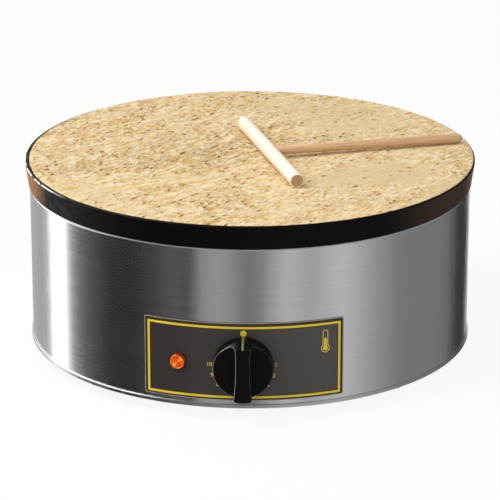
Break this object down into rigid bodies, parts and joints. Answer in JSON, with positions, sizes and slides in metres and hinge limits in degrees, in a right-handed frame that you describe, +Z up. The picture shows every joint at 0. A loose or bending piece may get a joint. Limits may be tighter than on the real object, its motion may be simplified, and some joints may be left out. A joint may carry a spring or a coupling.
{
  "type": "electric crepe maker",
  "caption": "Round electric crepe maker: cast griddle plate on a stainless drum with a curved control label, a grip-bar knob and a pilot lamp, with a crepe and a wooden spreader.",
  "frame": {"origin": "on the vertical axis of the griddle plate, on the surface that the feet stand on", "axes": "+Z up, -Y is the control side with the knob, +X is to the right when looking at the knob"},
  "size_m": [0.3999, 0.4402, 0.19],
  "materials": {
    "cast_black": "seasoned cast iron, matt, fine cast grain",
    "steel_sheet": "stainless sheet, brushed round the drum",
    "rivet_steel": "plain bright steel",
    "zinc_steel": "zinc plated steel",
    "bright_metal": "nickel plated",
    "element_sheath": "heat-dulled tubular sheath",
    "ceramic": "pale steatite and plastic",
    "insulation": "compressed mineral fibre",
    "reflector": "mill finish aluminium",
    "black_plastic": "satin black moulding",
    "black_rubber": "matt black rubber",
    "label": "dark grey-brown printed foil with a yellow border",
    "copper": "bare copper",
    "brass": "brass",
    "amber_lens": "clear amber plastic",
    "red_brown_bezel": "red-brown plastic",
    "live_insulation": "brown silicone",
    "neutral_insulation": "blue silicone",
    "earth_insulation": "green silicone",
    "grey_insulation": "grey silicone",
    "crepe": "golden baked batter with brown pits",
    "pale_wood": "pale turned beech",
    "tan_wood": "tan turned beech"
  },
  "bodies": {
    "base": {"griddle_plate": "cast_black", "body_shell": "steel_sheet", "seam_rivets": "rivet_steel", "base_pan": "zinc_steel", "foot_front_left": "black_rubber", "foot_front_right": "black_rubber", "foot_rear_left": "black_rubber", "foot_rear_right": "black_rubber", "foot_screws": "zinc_steel", "foot_nuts": "zinc_steel", "tie_rods": "zinc_steel", "tie_rod_nuts": "zinc_steel", "heating_element": "element_sheath", "element_terminals": "bright_metal", "element_bushes": "ceramic", "clamp_bars": "zinc_steel", "clamp_studs": "zinc_steel", "clamp_nuts": "zinc_steel", "insulation_disc": "insulation", "reflector_tray": "reflector", "tray_nuts": "zinc_steel", "thermal_cutout": "black_plastic", "cutout_rivets": "rivet_steel", "sensor_bulb": "copper", "bulb_clip": "zinc_steel", "clip_screws": "zinc_steel", "capillary_tube": "copper", "control_label": "label", "saddle_plate": "zinc_steel", "thermostat_housing": "zinc_steel", "thermostat_base": "ceramic", "thermostat_screws": "zinc_steel", "pilot_bezel": "red_brown_bezel", "pilot_lens": "amber_lens", "pilot_body": "ceramic", "pilot_clip": "bright_metal", "gland_body": "black_plastic", "gland_seal": "black_rubber", "gland_cap": "black_plastic", "gland_locknut": "black_plastic", "terminal_block": "ceramic", "terminal_screws": "brass", "earth_stud": "zinc_steel", "earth_nut": "zinc_steel", "live_wire": "live_insulation", "neutral_wire": "neutral_insulation", "element_wire": "live_insulation", "earth_wire": "earth_insulation", "lamp_wires": "grey_insulation"},
    "knob": {"control_knob": "black_plastic", "knob_spring": "bright_metal", "thermostat_shaft": "bright_metal"},
    "crepe": {"crepe": "crepe"},
    "spreader": {"spreader_crossbar": "pale_wood", "spreader_handle": "tan_wood"}
  },
  "joints": [
    {"name": "knob_turn", "type": "hinge", "parent": "base", "child": "knob", "pos_m": [0, -0.19825, 0.0514], "axis": [0, 1, 0], "range_deg": [0, 270]},
    {"name": "crepe_lift", "type": "slide", "parent": "base", "child": "crepe", "axis": [0, 0, 1], "range_m": [0, 0.15]},
    {"name": "spreader_lift", "type": "slide", "parent": "crepe", "child": "spreader", "axis": [0, 0, 1], "range_m": [0, 0.15]}
  ]
}
